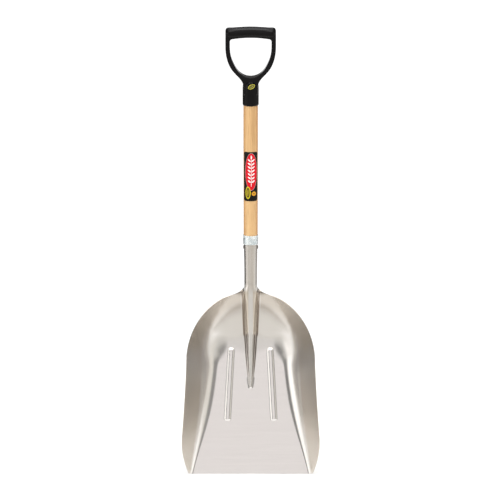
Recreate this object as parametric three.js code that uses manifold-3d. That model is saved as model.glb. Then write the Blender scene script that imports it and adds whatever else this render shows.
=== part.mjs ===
// A grain scoop: a one-piece stamped aluminium blade with a rolled socket, a turned wooden handle,
// a galvanised collar over the joint, and a moulded D grip.
// Millimetres, +Z up along the handle. The hollow side of the blade faces -Y, and +X is to its right.
// The origin is on the handle's axis at the underside of the grip's bar, where a rack hook carries it.

import * as THREE from 'three';
import { mergeVertices } from 'three/addons/utils/BufferGeometryUtils.js';
import Module from 'manifold-3d';

const wasm = await Module();
wasm.setup();

const DEG = Math.PI / 180;
const GAP = 0.3; // clearance between neighbouring pieces

// Blade, in its own coordinates: v runs up the floor from the lip, u across it, h out of it.
const SHEET = 1.9;
const LIFT = 16 * DEG; // angle between the floor and the handle
const AXIS_V = 326; // where the handle's axis meets the plane of the floor
const AXIS_Z = -852;
const SHOULDER_V = 290; // above this the rim is half an ellipse
const RIM_HALF = 170.5; // half width at the shoulders
const RIM_FLARE = 12.6; // how much wider the sides are near the lip
const FLARE_LENGTH = 211;
const FLARE_POWER = 1.3;
const ARCH_RISE = 193.5;
const CORNER_LENGTH = 90; // the sides are cut back in a curve over this length at the lip
const CORNER_CUT = 25.1;
const NECK_START_V = 465;
const NECK_V = 496; // the rim has run into the socket here
const NECK_SLOPE = 1.5;
const FOLD_HALF = 106; // half width between the folds at the shoulders
const FOLD_FLARE = 51.5; // more than that at the lip
const WALL_SLOPE = 1.3; // rise of the side wall for each mm outwards
const BACK_RIM_HEIGHT = 52;
const FOLD_SOFTNESS = [6, 26]; // softness of the side folds at the lip and further up
const FOLD_SOFT_V = 200;
const RAMP_V = 349; // the floor starts to rise to the back here
const RAMP_SLOPE = 1 / 3;
const RAMP_SOFTNESS = 21;
const MIDDLE_HALF = 50; // between the frog and this far out the ramp starts more softly
const MIDDLE_EXTRA = 16;
const CORNER_RADIUS = 50; // the foot of the side walls turns into the foot of the ramp
const CORNER_EASE = [7, 20];
const CORNER_EXTRA = 13;
const BACK_SOFTNESS = 26;

// Frog: the ridge that carries the line of the socket down into the floor.
const FROG_TIP_V = 228;
const FROG_END = 3.5; // the ridge starts with a step this long
const FROG_ROUND_V = 375; // above this the ridge follows the socket's cylinder
const FROG_STEP_V = 372; // below this the ridge is a stepped bead
const FROG_STEP_SOFTNESS = 5;
const FROG_HALF = 23.5;
const FROG_TIP_HALF = 3.4;
const FROG_TIP_HEIGHT = 2.4;
const FROG_SPREAD = 106;
const FROG_TUBE = 0.78; // share of the half width taken by the tube; the rest is its fillet
const FROG_LEG = 0.3;
const FROG_FILLET_POWER = 1.6;
const BEAD = [[0, 1], [0.34, 0.88], [0.56, 0.52], [0.8, 0.4], [0.93, 0.14], [1, 0]];
const FROG_RISE_POWER = 1.2;

// Stiffening ribs pressed up out of the floor.
const RIB_V = [141, 338];
const RIB_U = [62, 52];
const RIB_HALF = 10.3;
const RIB_HEIGHT = 2.45;
const RIB_PROFILE = [[0, 1], [0.2, 0.993], [0.41, 0.92], [0.84, 0.055], [1, 0]];
const RIB_BLUNT = 2.2; // the lower end is this much blunter than the round upper end

// Socket: the sheet rolled round the handle, with its seam at the back.
const SOCKET_RADIUS = 16.9;
const SOCKET_TOP_RADIUS = 18.5;
const SOCKET_TAPER_Z = [-640, -546];
const SEAM = 1.6;
const WRAP_V = [462, 502]; // the flat of the blade turns into the cylinder
const CLOSE_V = [484, 540]; // the two edges come together at the seam

// Handle.
const WOOD_RADIUS = 19.3;
const WOOD_FOOT_RADIUS = 18.7;
const WOOD_TOP_Z = -126;
const WOOD_SHOULDER_Z = -544;
const WOOD_TIP_Z = -786;

// Collar.
const COLLAR_RADIUS = 20.2;
const COLLAR_WALL = 1.15;
const COLLAR_Z = [-557.5, -533];
const CRIMPS = 8;

// Rivet through the socket, side to side.
const RIVET_Z = -566.5;
const RIVET_RADIUS = 2.6;
const RIVET_HEAD_RADIUS = 5;
const RIVET_HEAD = 1.9;

// Grip.
const BAR_RADIUS = 15.4;
const GRIP_HALF = 67.2;
const ARM = 12;
const GRIP_DEPTH = 24;
const CUP_RADIUS = 21.7;
const CUP_Z = [-182.2, -112];
const EYE_BOTTOM_Z = -101;
const SCREW_Z = -160;

// Label and badge: thin films that follow the round surfaces under them.
const FILM = 0.25;
const LABEL_Z = [-438, -305];
const LABEL_HALF = 17.7;
const BADGE_Z = -128;

const clamp01 = (t) => Math.min(1, Math.max(0, t));
const smooth = (t) => clamp01(t) ** 2 * (3 - 2 * clamp01(t));
const mix = (a, b, t) => a + (b - a) * t;

function material(color, roughness, metalness) {
  return new THREE.MeshStandardMaterial({ color, roughness, metalness });
}

function part(name, geometry, look) {
  geometry.computeVertexNormals();
  const mesh = new THREE.Mesh(geometry, look);
  mesh.name = name;
  return mesh;
}

// A closed three.js geometry as a solid that can be joined and cut.
function solid(geometry) {
  const bare = geometry.clone();
  bare.deleteAttribute('normal');
  bare.deleteAttribute('uv');
  const merged = mergeVertices(bare, 1e-4);
  const mesh = new wasm.Mesh({
    numProp: 3,
    vertProperties: new Float32Array(merged.attributes.position.array),
    triVerts: new Uint32Array(merged.index.array),
  });
  return new wasm.Manifold(mesh);
}

function geometryOf(body) {
  const mesh = body.getMesh();
  const geometry = new THREE.BufferGeometry();
  geometry.setAttribute('position', new THREE.BufferAttribute(mesh.vertProperties, 3));
  geometry.setIndex(new THREE.BufferAttribute(mesh.triVerts, 1));
  return geometry;
}

// A turned solid round the Z axis: [radius, z] points, going up the outside.
function turned(points, segments) {
  const geometry = new THREE.LatheGeometry(points.map(([r, z]) => new THREE.Vector2(r, z)), segments);
  return geometry.rotateX(Math.PI / 2);
}

// Where t is well below zero the result is zero, well above it is t, with a round turn between.
function fold(t, softness) {
  if (t <= -softness) return 0;
  if (t >= softness) return t;
  return (t + softness) ** 2 / (4 * softness);
}

function rimHalf(v) {
  const corner = CORNER_CUT * Math.max(0, 1 - v / CORNER_LENGTH) ** 2;
  if (v < SHOULDER_V) {
    return RIM_HALF + RIM_FLARE * ((SHOULDER_V - v) / FLARE_LENGTH) ** FLARE_POWER - corner;
  }
  const arch = RIM_HALF * Math.sqrt(Math.max(0, 1 - ((v - SHOULDER_V) / ARCH_RISE) ** 2));
  if (v < NECK_START_V) return arch;
  const neck = SOCKET_RADIUS + NECK_SLOPE * Math.max(0, NECK_V - v);
  return neck + fold(arch - neck, 4);
}

function foldHalf(v) {
  const along = Math.max(0, SHOULDER_V - v) / SHOULDER_V;
  return FOLD_HALF + FOLD_FLARE * along ** FLARE_POWER;
}

// Value of a broken line through [place, value] points.
function along(points, place) {
  const next = points.findIndex(([at]) => at >= place);
  if (next < 0) return points.at(-1)[1];
  if (next === 0) return points[0][1];
  const [[from, low], [to, high]] = [points[next - 1], points[next]];
  return mix(low, high, (place - from) / (to - from));
}

function frogHalf(v) {
  const grown = 1 - Math.exp(-Math.max(0, v - FROG_TIP_V) / FROG_SPREAD);
  return mix(FROG_TIP_HALF, FROG_HALF, grown);
}

function frogTop(v) {
  const round = (Math.max(v, FROG_ROUND_V) - AXIS_V) * Math.tan(LIFT) + SOCKET_RADIUS / Math.cos(LIFT);
  const run = clamp01((v - FROG_TIP_V) / (FROG_ROUND_V - FROG_TIP_V));
  const end = clamp01((v - FROG_TIP_V) / FROG_END);
  return mix(FROG_TIP_HEIGHT, round, run ** FROG_RISE_POWER) * (1 - (1 - end) ** 2);
}

// Height across the frog, 0 to 1: a round tube on a fillet, and below the wood a stepped bead.
function frogShape(across, v) {
  const tube = Math.sqrt(Math.max(0, 1 - (across / FROG_TUBE) ** 2));
  const fillet = clamp01((1 - across) / (1 - FROG_TUBE)) ** FROG_FILLET_POWER;
  const arch = mix(tube, fillet, FROG_LEG);
  const share = smooth((v - FROG_STEP_V) / (2 * FROG_STEP_SOFTNESS) + 0.5);
  return mix(along(BEAD, across), arch, share);
}

function foldSoftness(v) {
  return mix(FOLD_SOFTNESS[0], FOLD_SOFTNESS[1], smooth(v / FOLD_SOFT_V));
}

// Height of the floor, side walls and ramp: the foot of them all turns a round corner.
function pan(u, v) {
  const q1 = fold(Math.abs(u) - (foldHalf(v) - CORNER_RADIUS), CORNER_EASE[0]);
  const q2 = fold(v - (RAMP_V - CORNER_RADIUS), CORNER_EASE[1]);
  const turn = Math.atan2(q2, Math.max(q1, 1e-9)) / (Math.PI / 2);
  const out = Math.hypot(q1, q2) - CORNER_RADIUS;
  const side = foldSoftness(v) / WALL_SLOPE;
  const top = RAMP_SOFTNESS + MIDDLE_EXTRA * (1 - smooth(Math.abs(u) / MIDDLE_HALF));
  const softness = mix(side, top, turn) + CORNER_EXTRA * Math.sin(Math.PI * turn);
  return mix(WALL_SLOPE, RAMP_SLOPE, smooth(turn)) * fold(out, softness);
}

// How far the wall round the back stands over the rest of the pan, folded into it at its foot.
function backWall(u, v, low) {
  if (v < SHOULDER_V) return 0;
  const across = Math.abs(u) / RIM_HALF;
  const up = (v - SHOULDER_V) / ARCH_RISE;
  const reach = Math.max(1e-6, Math.hypot(across, up));
  const inside = Math.hypot(u, v - SHOULDER_V) * (1 / reach - 1);
  const back = (up / reach) ** 2;
  const rim = mix(WALL_SLOPE * (RIM_HALF - FOLD_HALF), BACK_RIM_HEIGHT, back);
  return fold(rim - WALL_SLOPE * inside - low, 0.5 + BACK_SOFTNESS * back);
}

function ribRise(u, v) {
  const [v0, v1] = [RIB_V[0] + RIB_HALF / RIB_BLUNT, RIB_V[1] - RIB_HALF];
  const t = clamp01((v - v0) / (v1 - v0));
  const beyond = v - mix(v0, v1, t);
  const end = beyond < 0 ? beyond * RIB_BLUNT : beyond;
  const off = Math.hypot(Math.abs(u) - mix(RIB_U[0], RIB_U[1], t), end) / RIB_HALF;
  return RIB_HEIGHT * along(RIB_PROFILE, off);
}

// Height of the hollow side of the blade over the plane of its floor.
function bladeHeight(u, v) {
  const low = pan(u, v);
  const height = low + backWall(u, v, low) + ribRise(u, v);
  if (v <= FROG_TIP_V) return height;
  const across = Math.min(1, Math.abs(u) / frogHalf(v));
  return height + Math.max(0, frogTop(v) - height) * frogShape(across, v);
}

function bladePoint(u, v) {
  const h = bladeHeight(u, v);
  const run = v - AXIS_V;
  return new THREE.Vector3(
    u,
    run * Math.sin(LIFT) - h * Math.cos(LIFT),
    AXIS_Z + run * Math.cos(LIFT) + h * Math.sin(LIFT),
  );
}

function socketRadius(z) {
  const t = (z - SOCKET_TAPER_Z[0]) / (SOCKET_TAPER_Z[1] - SOCKET_TAPER_Z[0]);
  return mix(SOCKET_RADIUS, SOCKET_TOP_RADIUS, clamp01(t) ** 1.4);
}

function socketPoint(angle, v) {
  const z = AXIS_Z + (v - AXIS_V) / Math.cos(LIFT) + SOCKET_RADIUS * Math.tan(LIFT);
  const r = socketRadius(z);
  return new THREE.Vector3(r * Math.sin(angle), -r * Math.cos(angle), z);
}

// Key lines across half a row, from the middle out: frog, rib, fold and rim.
function keyLines(v) {
  const held = Math.min(v, RIB_V[1]);
  const frog = frogHalf(held);
  const span = rimHalf(held) - frog;
  const rib = mix(RIB_U[0], RIB_U[1], (held - RIB_V[0]) / (RIB_V[1] - RIB_V[0]));
  const softness = foldSoftness(held) / WALL_SLOPE;
  const crease = foldHalf(held);
  const lines = [rib - RIB_HALF, rib, rib + RIB_HALF, crease - softness, crease, crease + softness];
  return [0, ...lines.map((u) => clamp01((u - frog) / span)), 1];
}

const FROG_STEPS = 5;
const LINE_STEPS = [1, 2, 2, 2, 1, 1, 1];

// Places across half a row: the share of the frog's quarter turn, then the share of the way to the rim.
function placesAcross(v) {
  const places = [];
  for (let i = 0; i <= FROG_STEPS; i++) places.push({ turn: i / FROG_STEPS, out: 0 });
  const lines = keyLines(v);
  LINE_STEPS.forEach((steps, k) => {
    for (let i = 1; i <= steps; i++) {
      places.push({ turn: 1, out: mix(lines[k], lines[k + 1], i / steps) });
    }
  });
  return places;
}

// A point on the outer side of the sheet; side is -1 or 1.
function sheetPoint(place, side, v) {
  const frog = Math.min(frogHalf(v), rimHalf(v) - 0.5);
  const u = frog * Math.sin(place.turn * 90 * DEG) + (rimHalf(v) - frog) * place.out;
  const closed = Math.PI - SEAM / 2 / SOCKET_RADIUS;
  const end = mix(100 * DEG, closed, smooth((v - CLOSE_V[0]) / (CLOSE_V[1] - CLOSE_V[0])));
  const angle = place.turn * 90 * DEG + (end - 90 * DEG) * place.out;
  const turnedIn = smooth((v - WRAP_V[0]) / (WRAP_V[1] - WRAP_V[0]));
  return bladePoint(side * u, v).lerp(socketPoint(side * angle, v), turnedIn);
}

// The other side of the sheet, along its normal.
function backPoint(place, side, v) {
  const step = 0.5;
  const shift = (amount) => ({
    turn: place.out > 0 ? 1 : Math.min(1, place.turn + amount),
    out: place.turn < 1 ? 0 : clamp01(place.out + amount),
  });
  const along = sheetPoint(place, side, v + step).sub(sheetPoint(place, side, v - step));
  const across = sheetPoint(shift(0.01), side, v).sub(sheetPoint(shift(-0.01), side, v));
  const normal = across.multiplyScalar(side).cross(along).normalize();
  return sheetPoint(place, side, v).addScaledVector(normal, -SHEET);
}

const ROW_SPANS = [[0, 90, 6], [90, 141, 3], [141, 146, 1], [146, 228, 4], [228, 232, 1],
  [232, 327, 8], [327, 338, 2], [338, 440, 10], [440, 516, 14], [516, 560, 4], [560, 617, 3]];

function rowStations() {
  const rows = [0];
  for (const [from, to, steps] of ROW_SPANS) {
    for (let i = 1; i <= steps; i++) rows.push(mix(from, to, i / steps));
  }
  return rows;
}

// A closed thin body between two grids of points.
function sheetBody(front, back) {
  const rows = front.length;
  const cols = front[0].length;
  const at = (layer, i, j) => (layer * rows + i) * cols + j;
  const index = [];
  const quad = (a, b, c, d) => index.push(a, b, c, a, c, d);
  for (let i = 0; i + 1 < rows; i++) {
    for (let j = 0; j + 1 < cols; j++) {
      quad(at(0, i, j), at(0, i, j + 1), at(0, i + 1, j + 1), at(0, i + 1, j));
      quad(at(1, i, j), at(1, i + 1, j), at(1, i + 1, j + 1), at(1, i, j + 1));
    }
    quad(at(0, i, 0), at(0, i + 1, 0), at(1, i + 1, 0), at(1, i, 0));
    quad(at(0, i, cols - 1), at(1, i, cols - 1), at(1, i + 1, cols - 1), at(0, i + 1, cols - 1));
  }
  for (let j = 0; j + 1 < cols; j++) {
    quad(at(0, 0, j), at(1, 0, j), at(1, 0, j + 1), at(0, 0, j + 1));
    quad(at(0, rows - 1, j), at(0, rows - 1, j + 1), at(1, rows - 1, j + 1), at(1, rows - 1, j));
  }
  const points = [...front, ...back].flat();
  const geometry = new THREE.BufferGeometry().setFromPoints(points);
  geometry.setIndex(index);
  return geometry;
}

function rivetHole(radius) {
  const length = 60;
  const hole = new THREE.CylinderGeometry(radius, radius, length, 20).rotateZ(Math.PI / 2);
  return solid(hole.translate(0, 0, RIVET_Z));
}

function bladeGeometry() {
  const grid = (pointAt) => rowStations().map((v) => {
    const places = placesAcross(v);
    const left = places.slice(1).reverse().map((place) => pointAt(place, -1, v));
    return [...left, ...places.map((place) => pointAt(place, 1, v))];
  });
  const sheet = solid(sheetBody(grid(sheetPoint), grid(backPoint)));
  return geometryOf(sheet.subtract(rivetHole(RIVET_RADIUS + GAP)));
}

function screwHole(radius, depth) {
  const hole = new THREE.CylinderGeometry(radius, radius, depth, 16);
  return solid(hole.translate(0, CUP_RADIUS - depth / 2, SCREW_Z));
}

const SCREW_RADIUS = 2;
const SCREW_LENGTH = 18;
const SCREW_HEAD_RADIUS = 4;

function handleGeometry() {
  const inner = (z) => socketRadius(z) - SHEET - 0.7;
  const tip = [[0, WOOD_TIP_Z], [6, WOOD_TIP_Z], [9, WOOD_TIP_Z + 4], [11.5, WOOD_TIP_Z + 40]];
  const seat = [-700, -640, -600, -570].map((z) => [inner(z), z]);
  const shoulder = [[inner(WOOD_SHOULDER_Z), WOOD_SHOULDER_Z], [WOOD_FOOT_RADIUS, WOOD_SHOULDER_Z]];
  const top = [[WOOD_RADIUS, -300], [WOOD_RADIUS, WOOD_TOP_Z - 2], [WOOD_RADIUS - 2, WOOD_TOP_Z],
    [0, WOOD_TOP_Z]];
  const wood = solid(turned([...tip, ...seat, ...shoulder, ...top], 40));
  const holes = rivetHole(RIVET_RADIUS + GAP).add(screwHole(SCREW_RADIUS + GAP, SCREW_LENGTH + 1));
  return geometryOf(wood.subtract(holes));
}

// A steel band whose top edge is crimped into the wood at equal steps round it.
function collarGeometry() {
  const [bottom, top] = COLLAR_Z;
  const bore = COLLAR_RADIUS - COLLAR_WALL;
  const edge = 0.4;
  const profile = [[bore, bottom], [COLLAR_RADIUS - edge, bottom], [COLLAR_RADIUS, bottom + edge],
    [COLLAR_RADIUS, top - edge], [COLLAR_RADIUS - edge, top], [bore, top], [bore, bottom]];
  let band = solid(turned(profile, 48));
  const dentRadius = 2.6;
  const dentDepth = 0.6;
  for (let i = 0; i < CRIMPS; i++) {
    const angle = (i + 0.5) * (2 * Math.PI / CRIMPS);
    const away = COLLAR_RADIUS + dentRadius - dentDepth;
    const dent = new THREE.SphereGeometry(dentRadius, 12, 8);
    dent.translate(away * Math.sin(angle), -away * Math.cos(angle), top - 3.6);
    band = band.subtract(solid(dent));
  }
  return geometryOf(band);
}

function rivetGeometry() {
  const seat = socketRadius(RIVET_Z) + GAP;
  const profile = [[0, -seat - RIVET_HEAD], [3, -seat - RIVET_HEAD * 0.85],
    [RIVET_HEAD_RADIUS, -seat - 0.4], [RIVET_HEAD_RADIUS, -seat], [RIVET_RADIUS, -seat]];
  const mirrored = profile.map(([r, z]) => [r, -z]).reverse();
  const rivet = turned([...profile, ...mirrored], 24);
  return rivet.rotateY(Math.PI / 2).translate(0, 0, RIVET_Z);
}

// The grip's front outline: a round cup below, arms that spread into a D, and a flat bar above.
function gripOutline() {
  const half = new THREE.CurvePath();
  const point = (x, z) => new THREE.Vector2(x, z);
  half.add(new THREE.LineCurve(point(CUP_RADIUS - 4, -150), point(CUP_RADIUS - 2, -126)));
  half.add(new THREE.CubicBezierCurve(point(CUP_RADIUS - 2, -126), point(23, -106),
    point(44, -98), point(55, -77)));
  half.add(new THREE.CubicBezierCurve(point(55, -77), point(63, -62),
    point(GRIP_HALF, -44), point(GRIP_HALF, -22)));
  half.add(new THREE.LineCurve(point(GRIP_HALF, -22), point(GRIP_HALF, 18)));
  half.add(new THREE.QuadraticBezierCurve(point(GRIP_HALF, 18), point(GRIP_HALF, 26),
    point(GRIP_HALF - 9, 27)));
  return half.getPoints(6);
}

function gripEye() {
  const point = (x, z) => new THREE.Vector2(x, z);
  const corner = -2;
  const wide = GRIP_HALF - ARM;
  const half = new THREE.CurvePath();
  half.add(new THREE.CubicBezierCurve(point(0, EYE_BOTTOM_Z), point(22, EYE_BOTTOM_Z),
    point(35, -88), point(43, -72)));
  half.add(new THREE.CubicBezierCurve(point(43, -72), point(52, -54), point(wide, -42),
    point(wide, -20)));
  half.add(new THREE.LineCurve(point(wide, -20), point(wide, corner - 7)));
  half.add(new THREE.QuadraticBezierCurve(point(wide, corner - 7), point(wide, corner),
    point(wide - 7, corner)));
  half.add(new THREE.LineCurve(point(wide - 7, corner), point(0, 1.5)));
  return half.getPoints(6);
}

// Both sides of an outline that was drawn for +X only.
function bothSides(points) {
  const right = points.filter((p, i) => i === 0 || p.distanceTo(points[i - 1]) > 1e-6);
  const left = right.filter((p) => p.x > 1e-6).map((p) => new THREE.Vector2(-p.x, p.y)).reverse();
  return [...right, ...left];
}

function gripGeometry() {
  const bevel = 5;
  const inset = { depth: GRIP_DEPTH - 2 * bevel, bevelEnabled: true, bevelThickness: bevel,
    bevelSize: 3, bevelOffset: -3, bevelSegments: 3, curveSegments: 8 };
  const outline = new THREE.Shape(bothSides(gripOutline()));
  outline.holes.push(new THREE.Path(bothSides(gripEye())));
  const plate = new THREE.ExtrudeGeometry(outline, inset);
  plate.rotateX(Math.PI / 2).translate(0, GRIP_DEPTH / 2 - bevel, 0);
  const end = GRIP_HALF - 4;
  const barProfile = [[0, -end - 3], [10, -end - 2], [13.5, -end + 4], [14.6, -40], [BAR_RADIUS, 0],
    [14.6, 40], [13.5, end - 4], [10, end + 2], [0, end + 3]];
  const bar = turned(barProfile, 28).rotateY(Math.PI / 2).translate(0, 0, BAR_RADIUS);
  const [bottom, top] = CUP_Z;
  const cupProfile = [[0, bottom], [CUP_RADIUS - 1.2, bottom], [CUP_RADIUS, bottom + 1.2],
    [CUP_RADIUS, -132], [CUP_RADIUS - 2, -122], [14, top], [0, top]];
  const cup = turned(cupProfile, 40);
  const bore = turned([[0, bottom - 5], [WOOD_RADIUS + GAP, bottom - 5],
    [WOOD_RADIUS + GAP, WOOD_TOP_Z + GAP], [0, WOOD_TOP_Z + GAP]], 40);
  const seat = new THREE.CylinderGeometry(SCREW_HEAD_RADIUS + GAP, SCREW_RADIUS + GAP, 2.4, 20);
  seat.translate(0, CUP_RADIUS - 1.3, SCREW_Z);
  let grip = solid(plate).add(solid(bar)).add(solid(cup));
  grip = grip.subtract(solid(bore)).subtract(solid(seat));
  return geometryOf(grip.subtract(screwHole(SCREW_RADIUS + GAP, 10)));
}

// A countersunk wood screw driven in from the back of the cup.
function screwGeometry() {
  const head = 2;
  const profile = [[0, -SCREW_LENGTH], [SCREW_RADIUS, 5 - SCREW_LENGTH], [SCREW_RADIUS, -head],
    [SCREW_HEAD_RADIUS, -0.2], [SCREW_HEAD_RADIUS - 0.2, 0], [0, 0]];
  const screw = new THREE.LatheGeometry(profile.map(([r, y]) => new THREE.Vector2(r, y)), 20);
  return screw.translate(0, CUP_RADIUS - 0.1, SCREW_Z);
}

// A film that follows a cylinder of that radius, cut to an outline drawn on the front.
function filmGeometry(radius, outline, low, high) {
  const ring = turned([[radius, low], [radius + FILM, low], [radius + FILM, high], [radius, high],
    [radius, low]], 72);
  const cutter = new THREE.ExtrudeGeometry(outline, { depth: 40, bevelEnabled: false, curveSegments: 10 });
  cutter.rotateX(Math.PI / 2);
  return geometryOf(solid(ring).intersect(solid(cutter)));
}

function labelGeometry() {
  const [low, high] = LABEL_Z;
  const round = 5;
  const half = LABEL_HALF;
  const outline = new THREE.Shape();
  outline.moveTo(-half, low + round);
  outline.absarc(-half + round, low + round, round, Math.PI, 1.5 * Math.PI);
  outline.absarc(half - round, low + round, round, 1.5 * Math.PI, 2 * Math.PI);
  outline.absarc(half - round, high - round, round, 0, 0.5 * Math.PI);
  outline.absarc(-half + round, high - round, round, 0.5 * Math.PI, Math.PI);
  return filmGeometry(WOOD_RADIUS + GAP, outline, low - 1, high + 1);
}

function badgeGeometry() {
  const outline = new THREE.Shape();
  outline.absellipse(2.2, BADGE_Z, 10, 6, 0, 2 * Math.PI, false, 25 * DEG);
  return filmGeometry(CUP_RADIUS + GAP, outline, BADGE_Z - 12, BADGE_Z + 12);
}

const scoop = new THREE.Group();
scoop.add(
  part('blade', bladeGeometry(), material(0xc9c4bb, 0.35, 1)),
  part('handle', handleGeometry(), material(0xdcb27c, 0.55, 0)),
  part('collar', collarGeometry(), material(0xbfcdd0, 0.4, 1)),
  part('socket_rivet', rivetGeometry(), material(0x8b8680, 0.4, 1)),
  part('d_grip', gripGeometry(), material(0x1c1b1c, 0.4, 0)),
  part('grip_screw', screwGeometry(), material(0x9a9a98, 0.35, 1)),
  part('label', labelGeometry(), material(0x15130f, 0.3, 0)),
  part('grip_badge', badgeGeometry(), material(0xc7c02e, 0.4, 0)),
);

export default scoop;
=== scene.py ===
"""A grain scoop: its looks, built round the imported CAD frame.

Metres, +Z up along the handle; the hollow side of the blade faces -Y.
"""

import math

import bmesh
import bpy
import numpy as np
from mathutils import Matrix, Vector


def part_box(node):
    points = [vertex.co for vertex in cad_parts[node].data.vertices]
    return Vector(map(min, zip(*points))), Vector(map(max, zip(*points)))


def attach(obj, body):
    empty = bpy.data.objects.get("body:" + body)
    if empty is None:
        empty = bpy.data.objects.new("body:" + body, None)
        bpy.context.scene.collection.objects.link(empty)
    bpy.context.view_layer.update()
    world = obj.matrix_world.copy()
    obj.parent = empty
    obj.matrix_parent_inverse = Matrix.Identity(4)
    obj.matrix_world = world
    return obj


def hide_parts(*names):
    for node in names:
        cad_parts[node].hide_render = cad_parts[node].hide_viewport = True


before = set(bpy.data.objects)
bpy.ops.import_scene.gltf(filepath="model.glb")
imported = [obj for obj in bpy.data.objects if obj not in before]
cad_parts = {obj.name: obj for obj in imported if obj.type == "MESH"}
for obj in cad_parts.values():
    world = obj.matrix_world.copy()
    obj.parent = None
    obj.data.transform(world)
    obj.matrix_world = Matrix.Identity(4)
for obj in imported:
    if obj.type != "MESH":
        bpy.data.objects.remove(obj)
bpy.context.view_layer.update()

MM = 0.001
ROOT = "root"


def mm(*values):
    return tuple(value * MM for value in values)


# Places that come from the CAD frame.
HANDLE_LOW, HANDLE_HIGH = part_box("handle")
COLLAR_LOW, COLLAR_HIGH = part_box("collar")
RIVET_LOW, RIVET_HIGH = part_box("socket_rivet")
GRIP_LOW, GRIP_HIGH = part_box("d_grip")
SCREW_LOW, SCREW_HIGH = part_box("grip_screw")
LABEL_LOW, LABEL_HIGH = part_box("label")
BADGE_LOW, BADGE_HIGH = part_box("grip_badge")
BLADE_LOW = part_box("blade")[0]
WOOD_RADIUS = HANDLE_HIGH.x
CUP_RADIUS = GRIP_HIGH.y
BAR_RADIUS = GRIP_HIGH.z / 2

# The blade's own dimensions, in its coordinates: v up the floor from the lip, u across, h out of it.
SHEET = 1.9 * MM
LIFT = math.radians(16)
AXIS_V = 326 * MM
AXIS_Z = -852 * MM
SHOULDER_V = 290 * MM
RIM_HALF = 170.5 * MM
RIM_FLARE = 12.6 * MM
FLARE_LENGTH = 211 * MM
FLARE_POWER = 1.3
ARCH_RISE = 193.5 * MM
CORNER_LENGTH = 90 * MM
CORNER_CUT = 25.1 * MM
NECK_START_V = 465 * MM
NECK_V = 496 * MM
NECK_SLOPE = 1.5
NECK_SOFTNESS = 4 * MM
FOLD_HALF = 106 * MM
FOLD_FLARE = 51.5 * MM
WALL_SLOPE = 1.3
BACK_RIM_HEIGHT = 52 * MM
RAMP_V = 349 * MM
RAMP_SLOPE = 1 / 3
RAMP_SOFTNESS = 21 * MM
CORNER_RADIUS = 50 * MM
CORNER_EASE = mm(7, 20)
CORNER_EXTRA = 13 * MM
MIDDLE_HALF = 50 * MM
MIDDLE_EXTRA = 16 * MM
FOLD_SOFTNESS = mm(6, 26)
FOLD_SOFT_V = 200 * MM
SIDE_SOFTNESS = 0.5 * MM
BACK_SOFTNESS = 26 * MM
PLEAT_HEIGHT = 0.10 * MM
PLEAT_WAVES = ((1, 31, 1), (0.6, 53, 2))
PLEAT_REACH = (0.62, 0.92)
PLEAT_V = (SHOULDER_V, SHOULDER_V + 60 * MM)
PLEAT_TURN = (0.25, 0.55)

# The frog and the ribs.
FROG_TIP_V = 228 * MM
FROG_END = 3.5 * MM
FROG_ROUND_V = 375 * MM
FROG_STEP_V = mm(366, 376)
FROG_HALF = 23.5 * MM
FROG_TIP_HALF = 3.4 * MM
FROG_TIP_HEIGHT = 2.4 * MM
FROG_SPREAD = 106 * MM
FROG_RISE_POWER = 1.2
FROG_TUBE = 0.78
FROG_LEG = 0.3
FROG_FILLET_POWER = 1.6
FROG_EDGE = 0.5 * MM
BEAD_ACROSS = (0, 0.12, 0.24, 0.34, 0.42, 0.50, 0.56, 0.64, 0.80, 0.86, 0.93, 0.98, 1.0)
BEAD_RISE = (1, 0.985, 0.95, 0.88, 0.76, 0.60, 0.52, 0.48, 0.40, 0.33, 0.14, 0.03, 0)
RIB_V = mm(141, 338)
RIB_U = mm(62, 52)
RIB_HALF = 10.3 * MM
RIB_HEIGHT = 2.45 * MM
RIB_ACROSS = (0, 0.20, 0.34, 0.40, 0.86, 0.92, 1.0)
RIB_RISE = (1, 0.993, 0.967, 0.92, 0.055, 0.012, 0)
RIB_BLUNT = 2.2

# The socket rolled out of the sheet, and the notch beside its foot.
SOCKET_RADIUS = 16.9 * MM
SOCKET_TOP_RADIUS = 18.5 * MM
SOCKET_TAPER_Z = mm(-640, -546)
SOCKET_TAPER_POWER = 1.4
SOCKET_END_V = 617 * MM
SEAM = 1.6 * MM
WRAP_V = mm(462, 502)
OPEN_ANGLE = math.radians(100)
CLOSE_V = mm(484, 540)
NOTCH_V = 485 * MM
NOTCH_U = mm(18, 33)
NOTCH_EASE = 3 * MM
NOTCH_HALF = 3.2 * MM
NOTCH_DEPTH = 3 * MM

# Points of the blade: rows from and to in mm with the steps between, and columns from the middle out.
ROW_SPANS = ((0, 90, 48), (90, 138, 24), (138, 152, 18), (152, 224, 36), (224, 240, 22), (240, 326, 44),
             (326, 340, 18), (340, 364, 16), (364, 380, 20), (380, 440, 40), (440, 545, 90),
             (545, SOCKET_END_V / MM, 24))
FROG_COLUMNS = 32
SIDE_COLUMNS = (10, 28, 12, 30, 30)

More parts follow.
